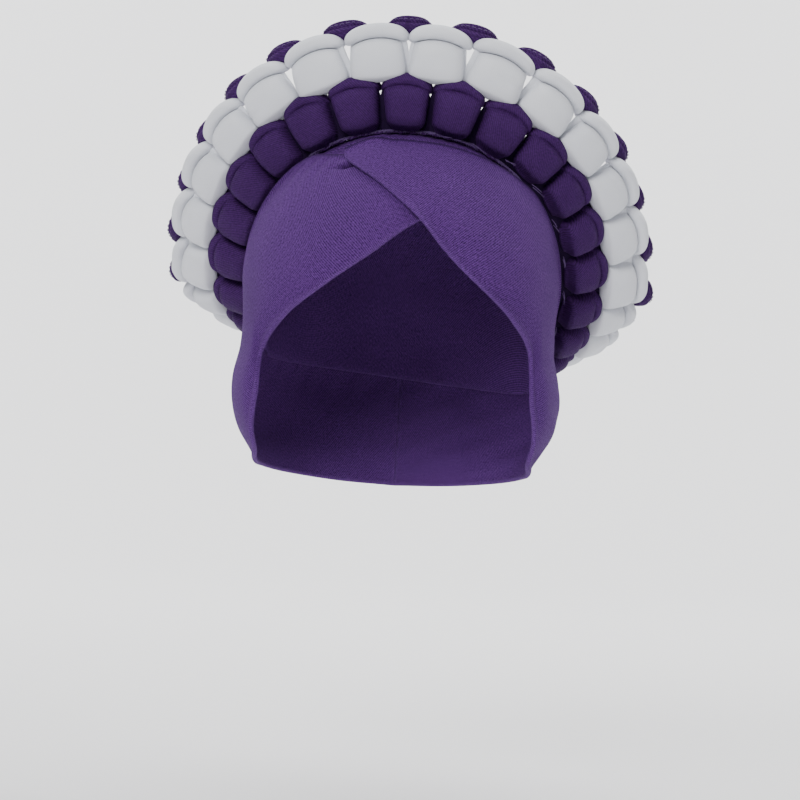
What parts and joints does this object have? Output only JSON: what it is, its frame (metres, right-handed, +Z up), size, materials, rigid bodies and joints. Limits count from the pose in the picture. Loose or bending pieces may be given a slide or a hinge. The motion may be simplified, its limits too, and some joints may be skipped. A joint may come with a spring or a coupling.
{
  "type": "gele head tie",
  "caption": "Ready-made gele head tie: a stretch cap with crossed front wraps and a braided halo of purple and white padded loops round the crown.",
  "frame": {"origin": "top of the hollow of the cap, where its crown rests on a head", "axes": "+Z up out of the crown, -Y ahead through the face opening, +X towards the wearer's left side, which is the viewer's right"},
  "size_m": [0.2512, 0.2384, 0.2359],
  "materials": {
    "cap_knit": "matte double knit",
    "purple_loop_knit": "matte padded double knit",
    "white_loop_knit": "matte padded double knit",
    "tape_cloth": "matte woven tape"
  },
  "bodies": {
    "root": {"cap_crown": "cap_knit", "wrap_under": "cap_knit", "wrap_over": "cap_knit", "halo_tape": "tape_cloth", "edge_strand": "purple_loop_knit", "inner_loop_01": "purple_loop_knit", "inner_loop_02": "purple_loop_knit", "inner_loop_03": "purple_loop_knit", "inner_loop_04": "purple_loop_knit", "inner_loop_05": "purple_loop_knit", "inner_loop_06": "purple_loop_knit", "inner_loop_07": "purple_loop_knit", "inner_loop_08": "purple_loop_knit", "inner_loop_09": "purple_loop_knit", "inner_loop_10": "purple_loop_knit", "inner_loop_11": "purple_loop_knit", "inner_loop_12": "purple_loop_knit", "inner_loop_13": "purple_loop_knit", "inner_loop_14": "purple_loop_knit", "inner_loop_15": "purple_loop_knit", "inner_loop_16": "purple_loop_knit", "inner_loop_17": "purple_loop_knit", "inner_loop_18": "purple_loop_knit", "inner_loop_19": "purple_loop_knit", "inner_loop_20": "purple_loop_knit", "inner_loop_21": "purple_loop_knit", "inner_loop_22": "purple_loop_knit", "inner_loop_23": "purple_loop_knit", "inner_loop_24": "purple_loop_knit", "inner_loop_25": "purple_loop_knit", "middle_loop_01": "white_loop_knit", "middle_loop_02": "white_loop_knit", "middle_loop_03": "white_loop_knit", "middle_loop_04": "white_loop_knit", "middle_loop_05": "white_loop_knit", "middle_loop_06": "white_loop_knit", "middle_loop_07": "white_loop_knit", "middle_loop_08": "white_loop_knit", "middle_loop_09": "white_loop_knit", "middle_loop_10": "white_loop_knit", "middle_loop_11": "white_loop_knit", "middle_loop_12": "white_loop_knit", "middle_loop_13": "white_loop_knit", "middle_loop_14": "white_loop_knit", "middle_loop_15": "white_loop_knit", "middle_loop_16": "white_loop_knit", "middle_loop_17": "white_loop_knit", "middle_loop_18": "white_loop_knit", "middle_loop_19": "white_loop_knit", "middle_loop_20": "white_loop_knit", "middle_loop_21": "white_loop_knit", "middle_loop_22": "white_loop_knit", "middle_loop_23": "white_loop_knit", "middle_loop_24": "white_loop_knit", "middle_loop_25": "white_loop_knit"}
  },
  "joints": []
}
